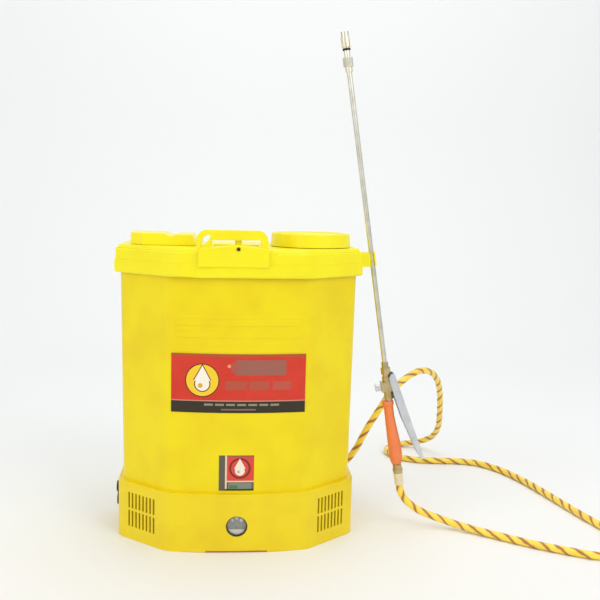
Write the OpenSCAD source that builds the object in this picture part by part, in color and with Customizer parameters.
// Battery knapsack sprayer, in millimetres. +Z is up, +X to the user's right hand side of the
// front view and +Y to the back, where the straps are. The origin is on the underside of the
// base, at its middle.

/* [Body] */
// Width of the base across its sides
base_w = 375; // [350:1:400]
// Depth of the base from front to back
base_d = 210; // [195:1:230]
// Height of the base housing that holds the pump and the battery
base_h = 92; // [88:1:100]
// Width of the middle part of the front, between the cut corners
front_w = 217.5; // [190:0.5:240]
// How far the middle of the front bows out
bow = 10; // [2:1:16]
// Height of the tank's top edge above the ground
tank_top = 450; // [440:1:456]
// How much wider the tank is at the top than at the bottom
tank_flare = 1.025; // [1:0.005:1.04]
// Wall of the moulded shells
wall = 3; // [2.5:0.5:4]

/* [Cover] */
// Lower edge of the cover's skirt
skirt_z = 421; // [415:1:430]
// Upper side of the cover's deck
deck_z = 464; // [460:1:470]
// Middle of the filler opening, to the right of the centre
fill_x = 112; // [105:1:118]
// Radius of the filler cap
cap_r = 63.5; // [60:0.5:66]
// Top of the filler cap
cap_z = 486; // [484:1:490]

/* [Vents and gauge] */
// Slots in each row of vents
vent_slots = 8; // [4:1:8]
// Distance from one slot to the next
vent_pitch = 7.6; // [6:0.1:8]
// Height of the middle of the gauge
gauge_z = 41.4; // [38:0.1:44]
// Radius of the gauge opening
gauge_r = 16.3; // [15:0.1:18]

/* [Lance] */
// Height of the lower end of the handle above the ground
lance_foot_z = 80; // [76:1:90]
// Sideways place of the lower end of the handle
lance_foot_x = 268; // [262:1:275]
// Lean of the lance from upright, towards the tank
lance_lean = 8.95; // [8.5:0.05:9.2]
// Radius of the lance tube
tube_r = 4; // [3.5:0.5:4]
// Length from the foot of the handle to the tip of the nozzle
lance_len = 725; // [715:1:760]

/* [Trigger] */
// Angle between the trigger lever and the handle at rest
lever_open = 12.2; // [11:0.1:14]

/* [Hose and straps] */
// Outer radius of the braided hose
hose_r = 6; // [5:0.5:6.5]
// Width of the strap webbing
strap_w = 38; // [30:1:40]
// Distance of each strap from the middle
strap_x = 62; // [60:1:64]

/* [Hidden] */
$fn = 48;

body_yellow = "#f4dd1e";
label_red = "#dc3d2c";
grip_orange = "#f9884a";
black_plastic = "#26272a";
steel_grey = "#c8c9c6";
brass_gold = "#b59a5e";

// Steps along the bowed front and round each back corner.
bow_steps = 8;
corner_steps = 5;
back_corner_r = 35;
// Where the cut corners meet the sides.
corner_side_y = -30.3;

// Outline shared by the base, the tank and the cover. g grows it outwards on every side.
function plan(g) = let(
        w = base_w / 2 + g,
        f = front_w / 2 + 0.44 * g,
        front = -base_d / 2 - g,
        r = back_corner_r + g,
        back = base_d / 2 + g - r)
    concat(
        [for (i = [0:bow_steps]) let(x = f * (2 * i / bow_steps - 1)) [x, front + bow * pow(x / f, 2)]],
        [[w, corner_side_y - 0.47 * g]],
        [for (i = [0:corner_steps]) let(a = 90 * i / corner_steps) [w - r + r * cos(a), back + r * sin(a)]],
        [for (i = [0:corner_steps]) let(a = 90 + 90 * i / corner_steps) [r - w + r * cos(a), back + r * sin(a)]],
        [[-w, corner_side_y - 0.47 * g]]);

module slab(z0, z1, g) translate([0, 0, z0]) linear_extrude(z1 - z0) polygon(plan(g));

// A flat hollow ring or tube round Z.
module ring(r1, r0, z0, z1) difference() {
    translate([0, 0, z0]) cylinder(r = r1, h = z1 - z0);
    translate([0, 0, z0 - 1]) cylinder(r = r0, h = z1 - z0 + 2);
}

module disc(r, z0, z1) translate([0, 0, z0]) cylinder(r = r, h = z1 - z0);

// Turns a shape made along Z so that it points to the front, the back, the left or the right.
module facing_front() rotate([90, 0, 0]) children();
module facing_back() rotate([-90, 0, 0]) children();
module facing_left() rotate([0, -90, 0]) children();
module facing_right() rotate([0, 90, 0]) children();

// ---------------------------------------------------------------- tank and base

tank_inset = 7.5;
tank_floor = 3.5;
outlet_xy = [8, 33];
outlet_bore = 9.2;

// The tapered outside of the tank, grown by g.
module tank_form(g = 0) translate([0, 0, base_h])
    linear_extrude(tank_top - base_h, scale = tank_flare) polygon(plan(g - tank_inset));

module tank_shell() color(body_yellow) difference() {
    union() {
        tank_form();
        // Three shallow steps moulded across the upper front.
        intersection() {
            tank_form(1.5);
            for (z = [309, 331, 349]) translate([-95, -base_d, z]) cube([190, base_d, 10]);
        }
    }
    translate([0, 0, base_h + tank_floor]) linear_extrude(tank_top - base_h, scale = tank_flare)
        polygon(plan(-tank_inset - wall));
    translate([outlet_xy[0], outlet_xy[1], base_h - 1]) cylinder(r = outlet_bore, h = tank_floor + 2);
}

// The cut corner's face runs from the end of the front to the start of the side.
corner_from = [front_w / 2, -base_d / 2 + bow];
corner_to = [base_w / 2, corner_side_y];
corner_angle = atan2(corner_to[1] - corner_from[1], corner_to[0] - corner_from[0]);
vent_w = 3.4;
vent_rows = [[21, 47], [51, 76]];

// Places what is drawn round X = 0, facing -Y, on the right (side 1) or left (side -1) cut corner.
module on_corner(side) mirror([side < 0 ? 1 : 0, 0, 0])
    translate([(corner_from[0] + corner_to[0]) / 2, (corner_from[1] + corner_to[1]) / 2, 0])
    rotate([0, 0, corner_angle]) children();

module vent_cuts() for (side = [-1, 1], row = vent_rows, i = [0:vent_slots - 1])
    on_corner(side) translate([(i - (vent_slots - 1) / 2) * vent_pitch - vent_w / 2, -5, row[0]])
        cube([vent_w, 10, row[1] - row[0]]);

// The control panel on the left side of the base.
panel_z = 50;
socket_y = 0;
switch_y = 30;
knob_y = 58;
outlet_x = 95;
outlet_z = 52;
screw_spots = [[-165, 80], [0, 82], [165, 80], [-120, -68], [120, -68], [-163, -6], [163, -6]];
boss_r = 5;
screw_r = 1.9;

module base_housing() color(body_yellow) difference() {
    union() {
        difference() {
            slab(0, base_h, 0);
            slab(-1, base_h - wall, -wall);
        }
        // Screw bosses that the bottom plate is fixed to.
        for (p = screw_spots) translate([p[0], p[1], wall + 0.2])
            cylinder(r = boss_r, h = base_h - 2 * wall + 1);
    }
    vent_cuts();
    // Slot along the lower front edge.
    translate([-70, -base_d / 2 - 3, -1]) cube([150, 5, 4]);
    translate([0, -base_d / 2 + 8, gauge_z]) facing_front() cylinder(r = gauge_r, h = 12);
    translate([outlet_xy[0], outlet_xy[1], base_h - wall - 1]) cylinder(r = outlet_bore, h = wall + 2);
    translate([outlet_x, base_d / 2 - 8, outlet_z]) facing_back() cylinder(r = 8.2, h = 12);
    // Openings of the control panel.
    translate([-base_w / 2 - 1, switch_y - 9.6, panel_z - 6.6]) cube([wall + 2, 19.2, 13.2]);
    translate([-base_w / 2 + 8, socket_y, panel_z]) facing_left() cylinder(r = 6.2, h = 10);
    translate([-base_w / 2 + 8, knob_y, panel_z]) facing_left() cylinder(r = 3.4, h = 10);
    for (p = screw_spots) translate([p[0], p[1], 0]) cylinder(r = screw_r, h = 18);
}

module bottom_plate() color(body_yellow) difference() {
    slab(0, wall, -wall - 0.2);
    for (p = screw_spots) translate([p[0], p[1], -1]) cylinder(r = 2.2, h = wall + 2);
    for (p = screw_spots) translate([p[0], p[1], -0.01]) cylinder(r = 4.2, h = 1.6);
}

module bottom_screws() color(steel_grey) for (p = screw_spots) translate([p[0], p[1], 0]) difference() {
    union() {
        disc(4, 0.2, 1.58);
        disc(screw_r, 1.5, 15);
    }
    translate([-2.6, -0.5, 0]) cube([5.2, 1, 0.9]);
    translate([-0.5, -2.6, 0]) cube([1, 5.2, 0.9]);
}

// ---------------------------------------------------------------- cover

skirt_top = 441;
skirt_out = 4.8;
upper_out = 3;
neck_r = 57;
neck_bore = 53;
neck_top = 478;
pocket_x = [-42, 30];
pocket_y = [-92, 20];
pocket_floor = 446;
tray_x = [-160, -76];
tray_y = [-36, 44];
tray_floor = 434;
lid_x = [-168, -68];
lid_y = [-44, 52];
lid_z = 482;
hinge_y = 55.2;
hinge_z = 469;
screw_spot_x = -3.5;
boss_face_y = -112;

// Raised panel in the middle of the front, which carries the handle.
module raised_panel() translate([0, boss_face_y + 22, 0]) facing_front() linear_extrude(22)
    polygon([[-62, 437], [42, 437], [42, deck_z], [30, 466.5], [-4, 470], [-42, 466.5], [-62, deck_z]]);

module top_cover() color(body_yellow) difference() {
    union() {
        difference() {
            union() {
                slab(skirt_z, skirt_top, skirt_out);
                slab(skirt_top - 0.1, 459, upper_out);
                slab(458.9, deck_z, -1);
                raised_panel();
            }
            slab(skirt_z - 1, tank_top + 1, -2.6);
            slab(tank_top, deck_z - wall, -9);
        }
        // Walls of the filler neck, the finger pocket and the accessory tray.
        translate([fill_x, 0, 0]) disc(neck_r, 440, neck_top);
        translate([pocket_x[0] - wall, pocket_y[0] - wall, pocket_floor - wall])
            cube([pocket_x[1] - pocket_x[0] + 2 * wall, pocket_y[1] - pocket_y[0] + 2 * wall, deck_z - pocket_floor]);
        translate([tray_x[0] - wall, tray_y[0] - wall, tray_floor - wall])
            cube([tray_x[1] - tray_x[0] + 2 * wall, tray_y[1] - tray_y[0] + 2 * wall, deck_z - tray_floor]);
        for (x = [-154, -90]) translate([x, hinge_y, 0]) {
            translate([0, -3.6, deck_z - 1]) cube([8, 7.2, hinge_z - deck_z + 1]);
            translate([0, 0, hinge_z]) facing_right() disc(4, 0, 8);
        }
    }
    translate([fill_x, 0, 439]) cylinder(r = neck_bore, h = 60);
    translate([pocket_x[0], pocket_y[0], pocket_floor])
        cube([pocket_x[1] - pocket_x[0], pocket_y[1] - pocket_y[0], 40]);
    translate([tray_x[0], tray_y[0], tray_floor])
        cube([tray_x[1] - tray_x[0], tray_y[1] - tray_y[0], 60]);
    translate([-170, hinge_y, hinge_z]) facing_right() cylinder(r = 1.5, h = 120);
    translate([screw_spot_x, boss_face_y - 1, deck_z]) facing_back() cylinder(r = 1.6, h = 22);
}

// The carry handle: a bar on one broad leg at the right and a split leg at the left.
handle_y = [-97, -73];
module carry_handle() color(body_yellow) difference() {
    union() {
        translate([0, handle_y[1], 0]) facing_front() linear_extrude(handle_y[1] - handle_y[0]) difference() {
            polygon([[-65, deck_z], [-66, 474], [-64, 482], [-59, 488], [-52, 490.5], [28, 490.5],
                [35, 488], [39.5, 481], [41, 474], [41, deck_z]]);
            polygon([[-42.5, deck_z - 1], [30, deck_z - 1], [30, 476.5], [-42.5, 475.5]]);
            polygon([[-59, 467], [-53, 467], [-44, 482], [-48, 483.5], [-55, 480]]);
        }
        // Tongue behind the raised panel, held by the screw.
        translate([screw_spot_x - 5, -92, 452]) cube([10, 5, 26]);
    }
    raised_panel();
    translate([screw_spot_x, -95, deck_z]) facing_back() cylinder(r = 1.6, h = 10);
}

module handle_screw() color(steel_grey) translate([screw_spot_x, boss_face_y, deck_z]) facing_back() difference() {
    union() {
        disc(2.7, -1.4, 0);
        disc(1.6, -0.1, 24);
    }
    translate([-2, -0.4, -1.5]) cube([4, 0.8, 0.8]);
    translate([-0.4, -2, -1.5]) cube([0.8, 4, 0.8]);
}

module filler_cap() color(body_yellow) translate([fill_x, 0, 0]) difference() {
    disc(cap_r, deck_z + 1, cap_z);
    disc(60.5, deck_z, cap_z - wall + 0.2);
}

module cap_seal() color(black_plastic) translate([fill_x, 0, 0]) ring(56.8, 52, neck_top + 2, cap_z - wall + 0.2);

basket_slots = 12;
module strainer_basket() color("#e8e8e4") translate([fill_x, 0, 0]) difference() {
    union() {
        disc(52.6, 402, neck_top + 1);
        disc(56.6, neck_top, neck_top + 2);
    }
    disc(50.4, 404.5, neck_top + 3);
    for (i = [0:basket_slots - 1]) rotate([0, 0, (i + 0.5) * 360 / basket_slots])
        translate([40, -9, 412]) cube([20, 18, 50]);
}

module box_lid() color(body_yellow) difference() {
    union() {
        translate([0, 0, deck_z + 0.4]) linear_extrude(lid_z - deck_z - 0.4)
            polygon([[lid_x[0], -26], [lid_x[0] + 20, lid_y[0]], [lid_x[1], lid_y[0]],
                [lid_x[1], lid_y[1] - 1.5], [lid_x[0], lid_y[1] - 1.5]]);
        for (x = [-168, -142, -104, -78]) translate([x, hinge_y, hinge_z]) {
            translate([0, -5.2, 0]) cube([10, 5.2, 2.8]);
            facing_right() disc(3.2, 0, 10);
        }
    }
    // Hollow underside.
    translate([0, 0, deck_z]) linear_extrude(10.5) polygon([[lid_x[0] + 4, -23], [lid_x[0] + 22, lid_y[0] + 4],
        [lid_x[1] - 4, lid_y[0] + 4], [lid_x[1] - 4, lid_y[1] - 4], [lid_x[0] + 4, lid_y[1] - 4]]);
    // Finger dip across the top, the lower right part and the sloping right edge.
    translate([-106, lid_y[0] - 1, lid_z + 10]) facing_back() cylinder(r = 14, h = 100);
    translate([-102, lid_y[0] - 1, lid_z - 1.4]) cube([40, 100, 10]);
    translate([lid_x[1], 60, deck_z]) facing_front() linear_extrude(120)
        polygon([[-6.5, 20], [0.1, 3], [2, 3], [2, 20]]);
    translate([-175, hinge_y, hinge_z]) facing_right() cylinder(r = 1.56, h = 120);
}

module box_hinge_pin() color(steel_grey) translate([-168, hinge_y, hinge_z]) facing_right() cylinder(r = 1.5, h = 100);

// ---------------------------------------------------------------- labels

label_t = 0.6;
module front_label(x0, x1, z0, z1) difference() {
    intersection() {
        tank_form(label_t);
        translate([x0, -base_d, z0]) cube([x1 - x0, base_d, z1 - z0]);
    }
    tank_form();
}

module main_label() color(label_red) front_label(-101, 101, 217, 307);
module small_label() color("#8c2d25") front_label(-28, 25, 96, 151);

// ---------------------------------------------------------------- gauge

gauge_face_y = -base_d / 2 + 3;
module at_gauge(depth = 0) translate([0, gauge_face_y + depth, gauge_z]) facing_back() children();

module gauge_housing() color(black_plastic) at_gauge() union() {
    ring(gauge_r - 0.1, 14.6, 0, 20);
    disc(gauge_r - 0.1, 19.9, 22);
    ring(20, gauge_r - 0.2, 3.2, 5);
}

module gauge_dial() color("#c9cbc8") at_gauge(12) disc(14.5, 0, 1);

needle_drop = 6;
module gauge_needle() color("#2b2b2b") at_gauge(8.5) translate([0, needle_drop, 0]) {
    disc(2, 0, 3.4);
    rotate([0, 0, -40]) translate([-0.5, -15, 0.4]) cube([1, 15.5, 0.8]);
}

module gauge_shroud() color("#e9e6d6") at_gauge(5.5) intersection() {
    disc(14.4, 0, 1.6);
    translate([-20, needle_drop - 2, -1]) cube([40, 20, 4]);
}

module gauge_lens() color("#ffffff60") at_gauge(1.5) disc(14.5, 0, 1.5);

// ---------------------------------------------------------------- drive in the base

module battery() color("#3a3d42") {
    translate([-152, -20, wall]) cube([150, 94, 65]);
    for (y = [0, 54]) translate([-20, y, 67]) cube([6, 0.8, 8]);
}

motor_xy = [74, -4];
motor_z = 40;
module along_motor() translate([motor_xy[0], motor_xy[1], motor_z]) facing_front() children();

module motor_can() color("#8d9095") along_motor() difference() {
    disc(23, 0, 66);
    disc(20.5, 2, 64);
    disc(3.08, -1, 67);
}

module motor_armature() color("#a0603a") along_motor() difference() {
    disc(16, 10, 54);
    disc(3, 9, 55);
}

module pump_shaft() color(steel_grey) along_motor() {
    disc(3, -24, 63.5);
    translate([2.5, 0, 0]) disc(13, -20, -10);
}

hose_bore = 5;
pump_x = 34;
pump_bottom = 16;
module pump_head() color(black_plastic) difference() {
    union() {
        translate([pump_x, motor_xy[1], pump_bottom]) cube([80, 62, 54]);
        translate([pump_x - 9, outlet_xy[1], outlet_z]) facing_right() disc(hose_bore, 0, 10);
        translate([outlet_x, 57, outlet_z]) facing_back() disc(hose_bore, 0, 10);
    }
    along_motor() disc(20.5, -30, 0.01);
    along_motor() disc(8, -31, 1);
    translate([pump_x - 10, outlet_xy[1], outlet_z]) facing_right() disc(3, 0, 8);
    translate([outlet_x, 60, outlet_z]) facing_back() disc(3, 0, 8);
}

module pressure_switch() color("#b8442e") translate([52, 38, 70]) union() {
    disc(9, 0, 8);
    translate([-5, -4, 7.9]) cube([10, 8, 6]);
}

module tank_outlet() color(black_plastic) translate([outlet_xy[0], outlet_xy[1], 0]) difference() {
    union() {
        disc(15, base_h + tank_floor, base_h + tank_floor + 3);
        disc(outlet_bore - 0.1, 80, base_h + tank_floor + 0.1);
        disc(14, 80, base_h - wall);
        disc(4.9, 67, 81);
    }
    disc(3.4, 66, 110);
}

module suction_filter() color("#d9d9d2") translate([outlet_xy[0], outlet_xy[1], 0]) difference() {
    disc(13, base_h + tank_floor + 3, base_h + tank_floor + 28);
    disc(11.5, base_h + tank_floor + 2, base_h + tank_floor + 26.5);
    for (i = [0:5]) rotate([0, 0, 60 * i]) translate([8, -3.5, base_h + tank_floor + 7]) cube([8, 7, 16]);
}

// Soft hose that comes down from the tank and turns into the pump.
bend_r = 14;
module suction_hose() color("#dfe3df") translate([outlet_xy[0], outlet_xy[1], outlet_z]) {
    ring(7.2, hose_bore, bend_r, 27.5);
    translate([bend_r, 0, bend_r]) facing_front() rotate([0, 0, 180]) rotate_extrude(angle = 90)
        translate([bend_r, 0]) difference() { circle(7.2); circle(hose_bore); }
    translate([bend_r, 0, 0]) facing_right() ring(7.2, hose_bore, 0, 11.5);
}

module discharge_hose() color("#dfe3df") translate([outlet_x, 0, outlet_z]) facing_back() ring(7.2, hose_bore, 59, 88);

module outlet_elbow() color(black_plastic) translate([outlet_x, 0, outlet_z]) {
    facing_back() difference() {
        union() {
            disc(4.9, 80, 92);
            disc(13, 91, base_d / 2 - wall);
            disc(8.1, base_d / 2 - wall - 0.1, 114);
            disc(9.6, base_d / 2, base_d / 2 + 5);
        }
        disc(3, 79, 112);
    }
    translate([0, 122, 0]) {
        translate([-9, -9, -9]) cube(18);
        facing_right() difference() {
            disc(7, 8, 30);
            disc(3, 12, 31);
        }
    }
}

module outlet_nut() color(black_plastic) translate([outlet_x + 20, 122, outlet_z]) facing_right() difference() {
    disc(12, 0, 20);
    disc(7.02, -1, 15);
    disc(hose_r, 14, 21);
    for (i = [0:11]) rotate([0, 0, 30 * i]) translate([12.4, 0, -1]) cylinder(r = 1.2, h = 22);
}

// ---------------------------------------------------------------- control panel

side_x = -base_w / 2;
// Distance of the charging cap's hinge from the middle of its socket.
flap_x = 12;
module switch_frame() color(black_plastic) difference() {
    union() {
        translate([side_x - 1.8, switch_y - 12, panel_z - 9]) cube([1.8, 24, 18]);
        translate([side_x - 0.1, switch_y - 9.5, panel_z - 6.5]) cube([22, 19, 13]);
    }
    translate([side_x - 3, switch_y - 8.3, panel_z - 5.3]) cube([16, 16.6, 10.6]);
}

module power_rocker() color("#c33025") translate([side_x + 5, switch_y, panel_z - 5]) rotate([0, 0, 8])
    union() {
        linear_extrude(10) polygon([[-8, -7.2], [-6.6, 0], [-8, 7.2], [-2, 7.2], [2.5, 0], [-2, -7.2]]);
        disc(1.6, -0.25, 10.25);
    }

module charge_socket() color(black_plastic) translate([side_x, socket_y, panel_z]) facing_left() difference() {
    union() {
        disc(9, 0, 1.6);
        disc(6.1, -16, 0.1);
        // Two ears that hold the cap's hinge.
        translate([0, -4.8, 0]) cube([14, 9.6, 0.7]);
        for (y = [-4.8, 3.4]) translate([10, y, 0]) cube([4, 1.4, 3.4]);
    }
    difference() {
        disc(3.2, -10, 2);
        disc(1, -11, 1);
    }
    translate([flap_x, 0, 1.9]) facing_front() cylinder(r = 0.85, h = 20, center = true);
}

module charge_cap() color(black_plastic) translate([side_x - 1.9, socket_y, panel_z]) facing_left() union() {
    disc(9.5, 0, 2.4);
    translate([8, -3, 0]) cube([flap_x - 8, 6, 2.4]);
    translate([flap_x, 0, 0]) facing_front() {
        cylinder(r = 1.1, h = 6, center = true);
        cylinder(r = 0.8, h = 9, center = true);
    }
}

module speed_knob() color(black_plastic) translate([side_x, knob_y, panel_z]) facing_left() union() {
    disc(9, 0.6, 13);
    disc(3, -12, 1);
    translate([-9.3, -0.8, 12.9]) cube([9.3, 1.6, 0.8]);
}

module speed_control() color("#2f6b46") translate([side_x + 4, knob_y, panel_z]) facing_left() difference() {
    union() {
        disc(8, -10, -0.4);
        translate([-16, -14, -12]) cube([32, 28, 1.6]);
    }
    disc(3.06, -20, 5);
}

// ---------------------------------------------------------------- lance

// Places what is drawn upright round Z on the leaning lance. Z = 0 is the handle's foot.
lance_y = -10;
module on_lance() translate([lance_foot_x, lance_y, lance_foot_z]) rotate([0, -lance_lean, 0]) children();

clip_s = 371;
module lance_clip() color(body_yellow) difference() {
    union() {
        on_lance() disc(6.4, clip_s - 11, clip_s + 11);
        translate([base_w / 2 + upper_out, lance_y - 5, 434]) cube([16, 14, 23]);
    }
    on_lance() disc(tube_r + 0.08, clip_s - 30, clip_s + 30);
    // Mouth that the tube snaps in through.
    on_lance() translate([-2.8, -20, clip_s - 30]) cube([5.6, 20, 60]);
    slab(skirt_z, 459, upper_out);
    slab(skirt_z, skirt_top, skirt_out);
}

module lance_tube() color(steel_grey) on_lance() difference() {
    disc(tube_r, 186, 680);
    disc(tube_r - 1, 185, 681);
}

// One hexagon nut with a round collar at each end of the tube.
module lance_nuts() color(brass_gold) on_lance() {
    difference() {
        union() {
            translate([0, 0, 182]) cylinder(r = 8, h = 11, $fn = 6);
            disc(5.6, 192.9, 202);
        }
        disc(tube_r, 185.9, 203);
        disc(6.02, 181, 186);
    }
    difference() {
        union() {
            translate([0, 0, 672]) cylinder(r = 8, h = 14, $fn = 6);
            disc(5.6, 664, 672.1);
        }
        disc(tube_r, 663, 680.1);
        disc(6.02, 680, 687);
    }
}

module nozzle_body() color(brass_gold) on_lance() difference() {
    union() {
        disc(6, 680, 686);
        disc(4.8, 685.9, 697);
        disc(5.4, 700, 712);
        disc(4.2, 696, 700.1);
    }
    disc(2, 679, 709);
    disc(0.6, 708, 713);
}

module nozzle_seal() color(black_plastic) on_lance() ring(6.2, 4.2, 697, 700);

module nozzle_cap() color(brass_gold) on_lance() difference() {
    union() {
        disc(7.2, 702, 717);
        disc(6.1, 716.9, lance_len);
    }
    disc(5.45, 701, 713);
    disc(0.8, 712, lance_len + 1);
    translate([0, 0, lance_len - 2]) cylinder(r1 = 0.8, r2 = 3, h = 2.01);
    for (i = [0:11]) rotate([0, 0, 30 * i]) translate([7.6, 0, 701]) cylinder(r = 0.9, h = 17);
}

// Trigger valve: the stem lies across the lance under the lever's pin.
pin_s = 174;
pin_x = 8;
stem_s = 162;
module valve_body() color(brass_gold) on_lance() difference() {
    union() {
        disc(7.6, 141, 178);
        disc(6, 177.9, 185.8);
        translate([-11, -8, 154]) cube([18, 16, 16]);
        translate([3, -8, 168]) cube([8.5, 16, 10]);
        translate([0, 0, stem_s]) facing_right() disc(4.6, 5, 9.5);
    }
    disc(3, 140, 187);
    disc(5.02, 140, 145);
    translate([0, 0, stem_s]) facing_right() {
        disc(2.06, -12, 12);
        disc(5, -12, -4);
    }
    translate([pin_x, 0, pin_s]) facing_front() disc(2.03, -12, 12);
}

module valve_cap() color(steel_grey) on_lance() translate([0, 0, stem_s]) facing_left() difference() {
    union() {
        translate([0, 0, 11.2]) cylinder(r = 6.9, h = 9, $fn = 6);
        disc(4.95, 7, 11.3);
    }
    disc(3.6, 6, 17);
}

module valve_stem() color(steel_grey) on_lance() translate([0, 0, stem_s]) facing_right() union() {
    disc(2, -9, 14.6);
    disc(3.2, -9.6, -8);
}

module valve_spring() color(steel_grey) on_lance() translate([0, 0, stem_s]) facing_left()
    for (i = [0:3]) translate([0, 0, 10.4 + 1.7 * i]) rotate_extrude() translate([2.6, 0]) circle(r = 0.5, $fn = 16);

// The lever is a folded steel channel, open towards the grip.
lever_top = 8;
lever_len = 152;
lever_inner = 17;
lever_outer = 20.4;
module on_lever() on_lance() translate([pin_x, 0, pin_s]) rotate([0, -lever_open, 0]) children();

module trigger_lever() color(steel_grey) on_lever() difference() {
    rotate([90, 0, 0]) translate([0, 0, -lever_outer / 2]) linear_extrude(lever_outer)
        polygon([[-5, lever_top - 5], [0, lever_top], [6.3, lever_top], [6.3, 12 - lever_len],
            [4.5, lever_top - lever_len], [1.5, lever_top - lever_len], [-0.5, 14 - lever_len], [-6.3, -70], [-6.3, -30]]);
    translate([-20, -lever_inner / 2, -lever_len]) cube([24.7, lever_inner, lever_len + 20]);
    facing_front() disc(2.03, -12, 12);
}

module lever_pin() color(steel_grey) on_lance() translate([pin_x, 0, pin_s]) facing_front() union() {
    disc(2, -11.5, 11.5);
    disc(3.2, 10.4, 11.8);
    disc(3.2, -11.8, -10.4);
}

module handle_tube() color(steel_grey) on_lance() difference() {
    disc(5, 22, 145);
    disc(3.6, 21, 146);
}

// Cross sections of the grip: height, sideways shift and radius.
grip_form = [[30, -0.5, 7], [36, -0.5, 9.6], [48, 0, 10.8], [66, -0.5, 10.6], [88, -1.5, 9.2], [112, -2.5, 8], [130, -2.5, 7.9]];
module grip() color(grip_orange) on_lance() difference() {
    union() {
        for (i = [0:len(grip_form) - 2]) hull() for (k = [i, i + 1])
            translate([grip_form[k][1], 0, grip_form[k][0]]) cylinder(r = grip_form[k][2], h = 0.6, $fn = 32);
        translate([-3, 0, 0]) disc(9.8, 130, 138);
    }
    disc(5.02, 20, 150);
}

module hose_fitting() color(brass_gold) on_lance() difference() {
    union() {
        disc(7.2, 14, 29.5);
        disc(8.2, 16.5, 21.5);
        disc(3.8, 0, 14.1);
    }
    disc(5, 22, 40);
    disc(2.4, -1, 30);
    for (i = [0:17]) rotate([0, 0, 20 * i]) translate([8.5, 0, 16]) cylinder(r = 0.7, h = 6);
}

module hose_sleeve() color("#e4dcc0") on_lance() ring(7.6, hose_r + 0.6, -6, 14);

// ---------------------------------------------------------------- hose

// Middle line of the hose, from the outlet nut to the handle. It rises behind the tank, comes
// down in an arch, lies on the ground, turns back and climbs to the handle.
hose_route = [[125.5, 122, 52], [160, 122, 54], [192, 121, 67], [214, 119, 94], [231, 118, 128], [252, 121, 162],
    [275, 130, 193], [303, 146, 216], [336, 172, 227], [368, 206, 218], [392, 244, 192], [408, 284, 154],
    [420, 326, 106], [428, 366, 65], [424, 404, 34], [403, 433, 15], [369, 442, 7.5], [338, 426, 6.3],
    [326, 391, 6.3], [340, 354, 6.3], [376, 332, 6.3], [418, 325, 6.3], [460, 322, 6.3], [500, 306, 6.3],
    [532, 266, 6.3], [554, 212, 6.3], [570, 152, 6.3], [584, 88, 6.3], [598, 24, 6.3], [613, -36, 6.3],
    [620, -92, 6.3], [600, -135, 6.3], [558, -146, 6.3], [510, -124, 6.3], [464, -96, 6.3], [418, -62, 6.5],
    [374, -32, 9], [337, -15, 16.5], [304, -10.5, 29], [281.5, -10, 46], [271, -10, 62.5], [268.1, -10, 79.3]];
hose_steps = 2;
hose_sides = 10;

function unit(v) = v / norm(v);
// A point of the smooth curve between p[1] and p[2], at t from 0 to 1.
function smooth(p, t) = 0.5 * (2 * p[1] + (p[2] - p[0]) * t
    + (2 * p[0] - 5 * p[1] + 4 * p[2] - p[3]) * t * t
    + (3 * p[1] - p[0] - 3 * p[2] + p[3]) * t * t * t);
function smooth_line(p, steps) = let(n = len(p),
        q = concat([2 * p[0] - p[1]], p, [2 * p[n - 1] - p[n - 2]]))
    concat([for (i = [0:n - 2], j = [0:steps - 1]) smooth([q[i], q[i + 1], q[i + 2], q[i + 3]], j / steps)], [p[n - 1]]);
function directions(p) = [for (i = [0:len(p) - 1])
    unit(p[min(i + 1, len(p) - 1)] - p[max(i - 1, 0)])];
// Side directions carried along the line without twisting.
function carried(t, side, i = 0) = i == len(t) ? []
    : let(m = unit(side - (side * t[i]) * t[i])) concat([m], carried(t, m, i + 1));

module swept_tube(line, r, sides) {
    t = directions(line);
    side = carried(t, [0, 0, 1]);
    n = len(line);
    points = [for (i = [0:n - 1], k = [0:sides - 1]) let(a = 360 * k / sides, up = cross(t[i], side[i]))
        line[i] + r * (cos(a) * side[i] + sin(a) * up)];
    wraps = [for (i = [0:n - 2], k = [0:sides - 1]) let(a = i * sides, b = (k + 1) % sides)
        [a + k, a + sides + k, a + sides + b, a + b]];
    polyhedron(points, concat(wraps, [[for (k = [0:sides - 1]) k]],
        [[for (k = [sides - 1:-1:0]) (n - 1) * sides + k]]));
}

module spray_hose() color("#f5e04a") swept_tube(smooth_line(hose_route, hose_steps), hose_r, hose_sides);

// ---------------------------------------------------------------- harness

strap_z = [45, 412];
strap_y = 108;
strap_belly = 55;
strap_steps = 24;
function strap_line(z) = strap_y + strap_belly * pow(sin(180 * (z - strap_z[0]) / (strap_z[1] - strap_z[0])), 2);

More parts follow.
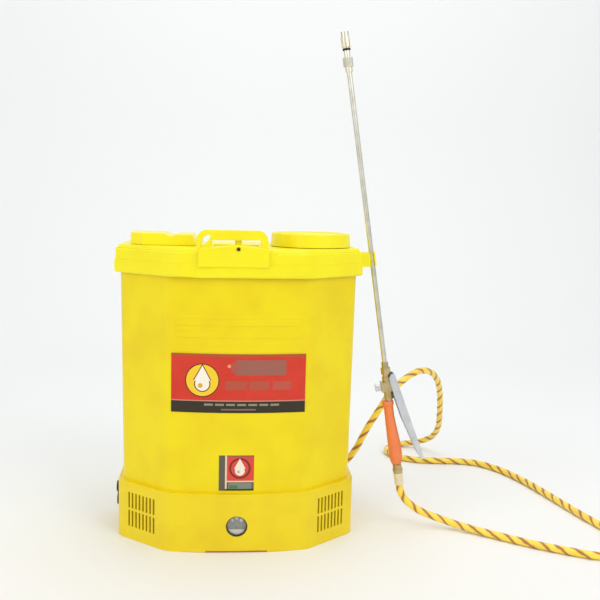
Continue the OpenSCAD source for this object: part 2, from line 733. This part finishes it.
// A strip that follows the hanging line of a strap, from height z0 to z1 and depth y0 to y1 off it.
module strap_strip(x, w, z0, z1, y0, y1) translate([x - w / 2, 0, 0]) rotate([90, 0, 90]) linear_extrude(w)
    polygon(concat([for (i = [0:strap_steps]) let(z = z0 + (z1 - z0) * i / strap_steps) [strap_line(z) + y0, z]],
        [for (i = [strap_steps:-1:0]) let(z = z0 + (z1 - z0) * i / strap_steps) [strap_line(z) + y1, z]]));

module strap(x) color("#2a2c30") strap_strip(x, strap_w, strap_z[0], strap_z[1], -1.2, 1.2);
module strap_pad(x) color("#33363b") strap_strip(x, 58, 218, 382, -10.4, -1.6);
module left_strap() strap(-strap_x);
module right_strap() strap(strap_x);
module left_strap_pad() strap_pad(-strap_x);
module right_strap_pad() strap_pad(strap_x);

module strap_buckles() color(black_plastic) for (x = [-strap_x, strap_x]) difference() {
    translate([x - 25, strap_line(110) - 7, 98]) cube([50, 14, 24]);
    strap_strip(x, strap_w + 1, 90, 130, -1.3, 1.3);
    strap_strip(x, strap_w + 1, 90, 130, 4, 12);
    strap_strip(x, strap_w + 1, 90, 130, -12, -4);
}

module strap_hooks() color(black_plastic) for (x = [-strap_x, strap_x]) {
    difference() {
        translate([x - 23, 98, 396]) cube([46, 16, 20]);
        tank_form();
        translate([x - 19.5, strap_y - 1.8, 390]) cube([39, 4.2, 22.2]);
    }
    difference() {
        translate([x - 23, base_d / 2, 41]) cube([46, 9, 20]);
        translate([x - 19.5, strap_y - 1.8, 44.8]) cube([39, 4.6, 20]);
    }
}

tank_shell();
base_housing();
bottom_plate();
bottom_screws();
top_cover();
carry_handle();
handle_screw();
filler_cap();
cap_seal();
strainer_basket();
box_lid();
box_hinge_pin();
main_label();
small_label();
gauge_housing();
gauge_dial();
gauge_needle();
gauge_shroud();
gauge_lens();
battery();
motor_can();
motor_armature();
pump_shaft();
pump_head();
pressure_switch();
tank_outlet();
suction_filter();
suction_hose();
discharge_hose();
outlet_elbow();
outlet_nut();
switch_frame();
power_rocker();
charge_socket();
charge_cap();
speed_knob();
speed_control();
lance_clip();
lance_tube();
lance_nuts();
nozzle_body();
nozzle_cap();
nozzle_seal();
valve_body();
valve_cap();
valve_stem();
valve_spring();
trigger_lever();
lever_pin();
handle_tube();
grip();
hose_fitting();
hose_sleeve();
spray_hose();
left_strap();
right_strap();
left_strap_pad();
right_strap_pad();
strap_buckles();
strap_hooks();
